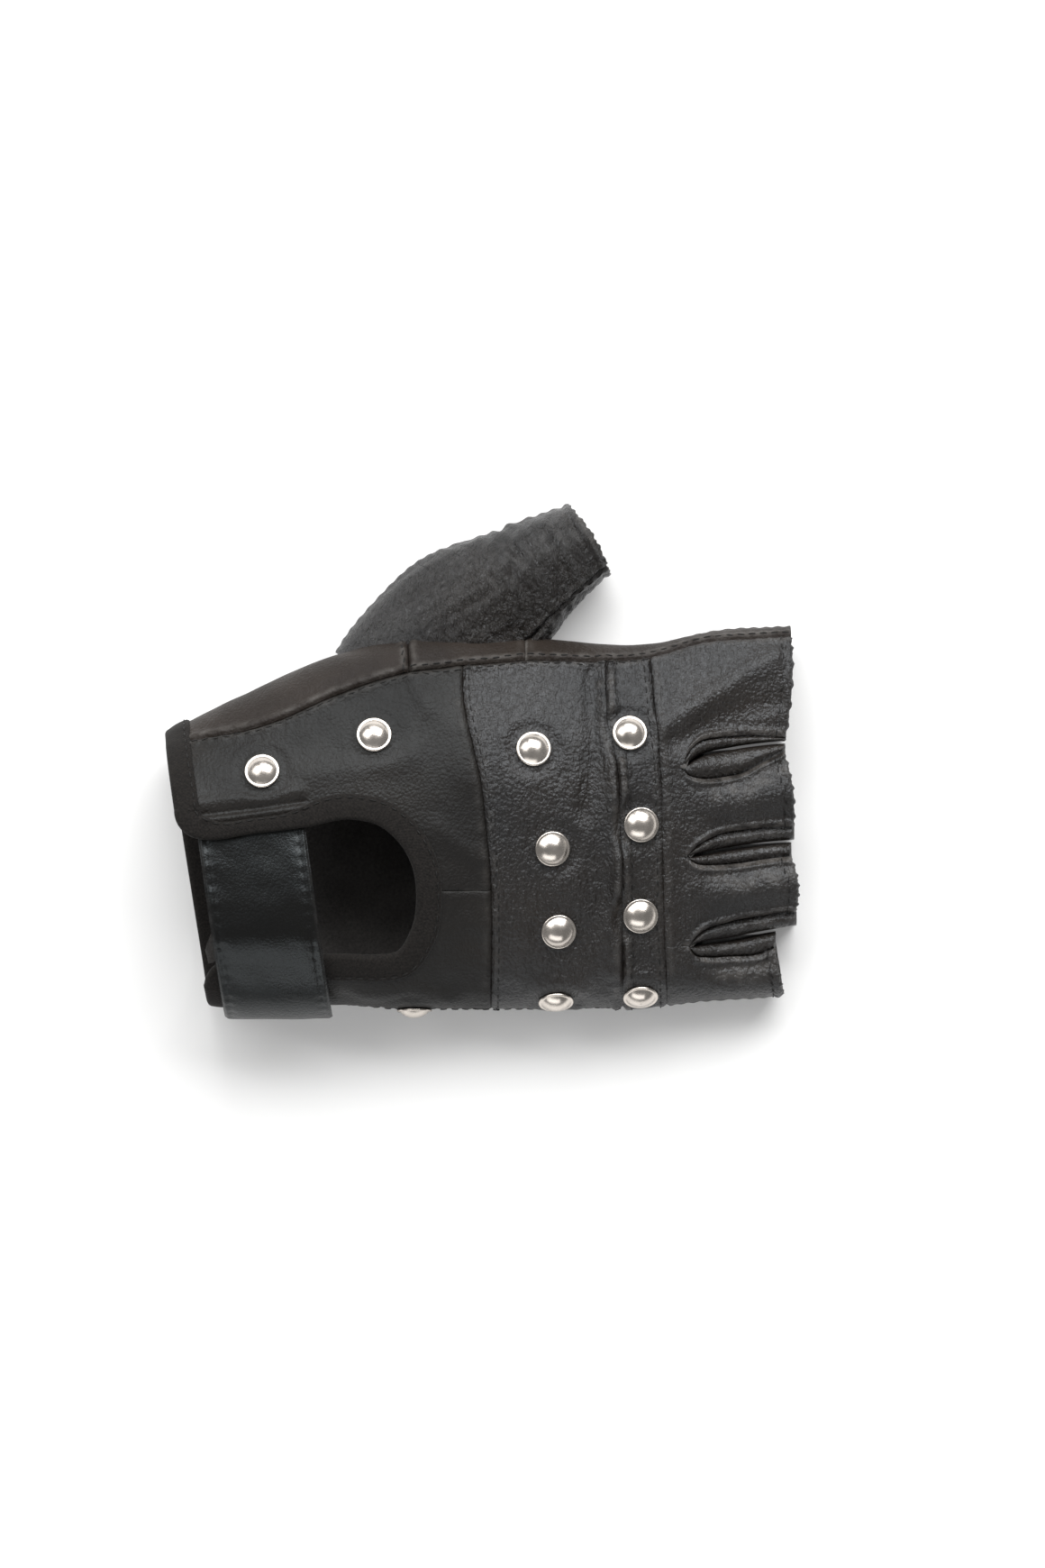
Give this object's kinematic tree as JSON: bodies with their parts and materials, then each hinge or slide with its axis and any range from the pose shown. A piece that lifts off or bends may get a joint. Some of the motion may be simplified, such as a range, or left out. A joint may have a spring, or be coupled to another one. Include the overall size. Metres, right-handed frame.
{
  "type": "fingerless glove",
  "caption": "Left-hand fingerless leather glove with dome rivets, a keyhole opening in the back of the wrist and a hook-and-loop wrist strap.",
  "frame": {"origin": "on the flat of the palm, which lies on Z = 0, under the middle of the hand", "axes": "+X from the wrist to the fingers, +Y to the thumb side, +Z out of the back of the hand"},
  "size_m": [0.1607, 0.1306, 0.0416],
  "materials": {
    "leather": "fine grain, semi-gloss",
    "strap_leather": "smooth, semi-gloss",
    "binding": "matte woven tape",
    "rivet_nickel": "polished nickel",
    "rivet_steel": "satin",
    "hook_tape": "matte hooks",
    "loop_tape": "matte loops"
  },
  "bodies": {
    "glove": {"back_panel_little_side": "leather", "back_panel_thumb_side": "leather", "finger_back": "leather", "gusset_index_middle": "leather", "gusset_middle_ring": "leather", "gusset_ring_little": "leather", "hand_band": "leather", "index_side_strip": "leather", "keyhole_binding": "binding", "knuckle_strip": "leather", "loop_patch": "loop_tape", "palm_panel": "leather", "rivet_caps_band": "rivet_nickel", "rivet_caps_knuckle": "rivet_nickel", "rivet_caps_wrist": "rivet_nickel", "rivet_posts_band": "rivet_steel", "rivet_posts_knuckle": "rivet_steel", "rivet_posts_wrist": "rivet_steel", "strap_root": "strap_leather", "thumb_back": "leather", "thumb_front": "leather", "thumb_gusset": "leather", "thumb_side_panel": "leather", "wrist_binding": "binding"},
    "strap": {"strap": "strap_leather"},
    "strap_tip": {"strap_tip": "strap_leather", "hook_patch": "hook_tape"}
  },
  "joints": [
    {"name": "strap_open", "type": "hinge", "parent": "glove", "child": "strap", "pos_m": [-0.0582, -0.01848, 0.03929], "axis": [-1, 0, 0], "range_deg": [0, 110]},
    {"name": "strap_tip_peel", "type": "hinge", "parent": "strap", "child": "strap_tip", "pos_m": [-0.054, -0.04872, 0.03773], "axis": [-1, 0, 0], "range_deg": [0, 60]}
  ]
}
